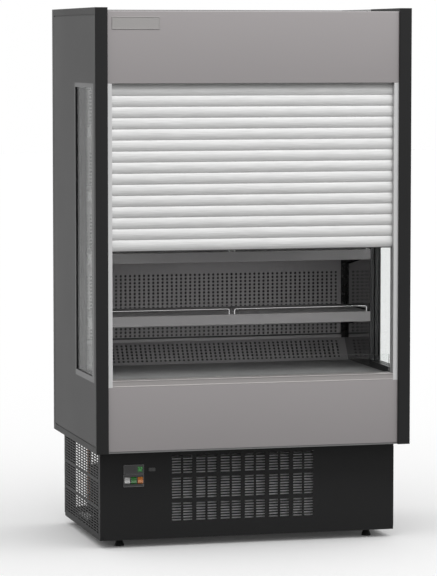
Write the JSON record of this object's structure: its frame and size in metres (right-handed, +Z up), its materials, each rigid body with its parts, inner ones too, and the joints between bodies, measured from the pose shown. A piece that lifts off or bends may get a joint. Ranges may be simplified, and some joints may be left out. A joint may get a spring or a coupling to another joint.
{
  "type": "open multideck display fridge",
  "caption": "Upright open-front refrigerated display cabinet with glazed ends, shelves, a slatted roll-down shutter and a louvred machine base on levelling feet.",
  "frame": {"origin": "on the floor, under the middle of the body", "axes": "+Z up, -Y towards the customer, the controls on the -X side"},
  "size_m": [1.2, 0.78, 1.99],
  "materials": {
    "panel_grey": "grey powder-coated skin over rigid foam, satin",
    "header_grey": "light grey powder coat, satin",
    "black_coat": "black powder coat, satin",
    "inner_grey": "dark grey powder coat, satin",
    "shelf_grey": "grey powder coat, satin",
    "glass": "clear float glass",
    "window_black": "black edge band",
    "rail_metal": "satin anodised extrusion",
    "slat_metal": "satin anodised, brushed lengthwise",
    "sill_metal": "brushed trim",
    "wire_chrome": "bright plated wire",
    "zinc_steel": "zinc-plated sheet",
    "coil_fins": "fin stock",
    "copper": "dull copper tube",
    "pump_black": "black enamelled shell",
    "fan_black": "moulded, matt",
    "lamp_white": "opal tube",
    "vent_grey": "moulded honeycomb",
    "seal_rubber": "black rubber",
    "trim_black": "moulded, matt",
    "plate_grey": "blank lacquered plate",
    "rocker_white": "lit cap",
    "rocker_green": "lit cap",
    "rocker_orange": "lit cap"
  },
  "bodies": {
    "cabinet": {"left_end_panel": "panel_grey", "right_end_panel": "panel_grey", "window_frames": "window_black", "window_glass": "glass", "back_panel": "panel_grey", "roof_panel": "panel_grey", "cabinet_floor": "panel_grey", "front_wall": "panel_grey", "lower_front_panel": "header_grey", "front_posts": "black_coat", "header_panel": "header_grey", "name_plate": "plate_grey", "sill": "sill_metal", "riser_glass": "glass", "return_air_grille": "inner_grey", "deck_pan": "inner_grey", "rear_duct_panel": "inner_grey", "lower_duct_panel": "inner_grey", "shelf_uprights": "inner_grey", "shelf_1": "shelf_grey", "shelf_2": "shelf_grey", "shelf_3": "shelf_grey", "shelf_4": "shelf_grey", "shelf_brackets": "inner_grey", "shelf_fences": "wire_chrome", "shutter_box": "zinc_steel", "ceiling_panel": "inner_grey", "discharge_honeycomb": "vent_grey", "canopy_lamp": "lamp_white", "guide_rails": "rail_metal", "barrel_brackets": "zinc_steel", "base_frame": "black_coat", "base_front_panel": "black_coat", "left_base_grille": "black_coat", "right_base_grille": "black_coat", "controller": "trim_black", "switch_bezel": "trim_black", "socket_cover": "trim_black", "evaporator_fan_housing": "zinc_steel", "evaporator_coil": "coil_fins", "condenser_coil": "coil_fins", "condenser_shroud": "zinc_steel", "compressor": "pump_black", "copper_pipes": "copper", "water_tray": "zinc_steel", "cable_gland": "trim_black"},
    "shutter": {"shutter_curtain": "slat_metal", "shutter_seal": "seal_rubber"},
    "shutter_tail": {"upper_curtain": "slat_metal"},
    "barrel": {"shutter_barrel": "rail_metal"},
    "left_duct_fan": {"evaporator_fan_left": "fan_black"},
    "right_duct_fan": {"evaporator_fan_right": "fan_black"},
    "cooling_fan": {"condenser_fan": "fan_black"},
    "lamp_switch": {"lamp_rocker": "rocker_white"},
    "fan_switch": {"fan_rocker": "rocker_green"},
    "power_switch": {"power_rocker": "rocker_orange"},
    "front_left_foot": {"foot_front_left": "zinc_steel"},
    "front_right_foot": {"foot_front_right": "zinc_steel"},
    "rear_left_foot": {"foot_rear_left": "zinc_steel"},
    "rear_right_foot": {"foot_rear_right": "zinc_steel"}
  },
  "joints": [
    {"name": "shutter_slide", "type": "slide", "parent": "cabinet", "child": "shutter", "axis": [0, 0, 1], "range_m": [-0.4687, 0.202]},
    {"name": "tail_slide", "type": "slide", "parent": "cabinet", "child": "shutter_tail", "axis": [0, 0, 1], "range_m": [-0.1645, 0.0712]},
    {"name": "barrel_turn", "type": "hinge", "parent": "cabinet", "child": "barrel", "pos_m": [0, -0.264, 1.858], "axis": [1, 0, 0], "range_deg": [-235, 540]},
    {"name": "left_duct_fan_spin", "type": "hinge", "parent": "cabinet", "child": "left_duct_fan", "pos_m": [-0.25, -0.221, 0.508], "axis": [0, 1, 0], "continuous": true},
    {"name": "right_duct_fan_spin", "type": "hinge", "parent": "cabinet", "child": "right_duct_fan", "pos_m": [0.25, -0.221, 0.508], "axis": [0, 1, 0], "continuous": true},
    {"name": "cooling_fan_spin", "type": "hinge", "parent": "cabinet", "child": "cooling_fan", "pos_m": [-0.022, -0.185, 0.182], "axis": [0, 1, 0], "continuous": true},
    {"name": "lamp_switch_rock", "type": "hinge", "parent": "cabinet", "child": "lamp_switch", "pos_m": [-0.4648, -0.291, 0.251], "axis": [1, 0, 0], "range_deg": [0, 16]},
    {"name": "fan_switch_rock", "type": "hinge", "parent": "cabinet", "child": "fan_switch", "pos_m": [-0.44, -0.291, 0.251], "axis": [1, 0, 0], "range_deg": [0, 16]},
    {"name": "power_switch_rock", "type": "hinge", "parent": "cabinet", "child": "power_switch", "pos_m": [-0.4152, -0.291, 0.251], "axis": [1, 0, 0], "range_deg": [0, 16]},
    {"name": "front_left_foot_turn", "type": "hinge", "parent": "cabinet", "child": "front_left_foot", "pos_m": [-0.48, -0.229, 0], "axis": [0, 0, 1], "continuous": true},
    {"name": "front_right_foot_turn", "type": "hinge", "parent": "cabinet", "child": "front_right_foot", "pos_m": [0.48, -0.229, 0], "axis": [0, 0, 1], "continuous": true},
    {"name": "rear_left_foot_turn", "type": "hinge", "parent": "cabinet", "child": "rear_left_foot", "pos_m": [-0.48, 0.28, 0], "axis": [0, 0, 1], "continuous": true},
    {"name": "rear_right_foot_turn", "type": "hinge", "parent": "cabinet", "child": "rear_right_foot", "pos_m": [0.48, 0.28, 0], "axis": [0, 0, 1], "continuous": true}
  ],
  "couplings": [
    {"joint": "tail_slide", "follows": "shutter_slide", "ratio": 0.35},
    {"joint": "barrel_turn", "follows": "shutter_slide", "rad_per_m": -20}
  ]
}
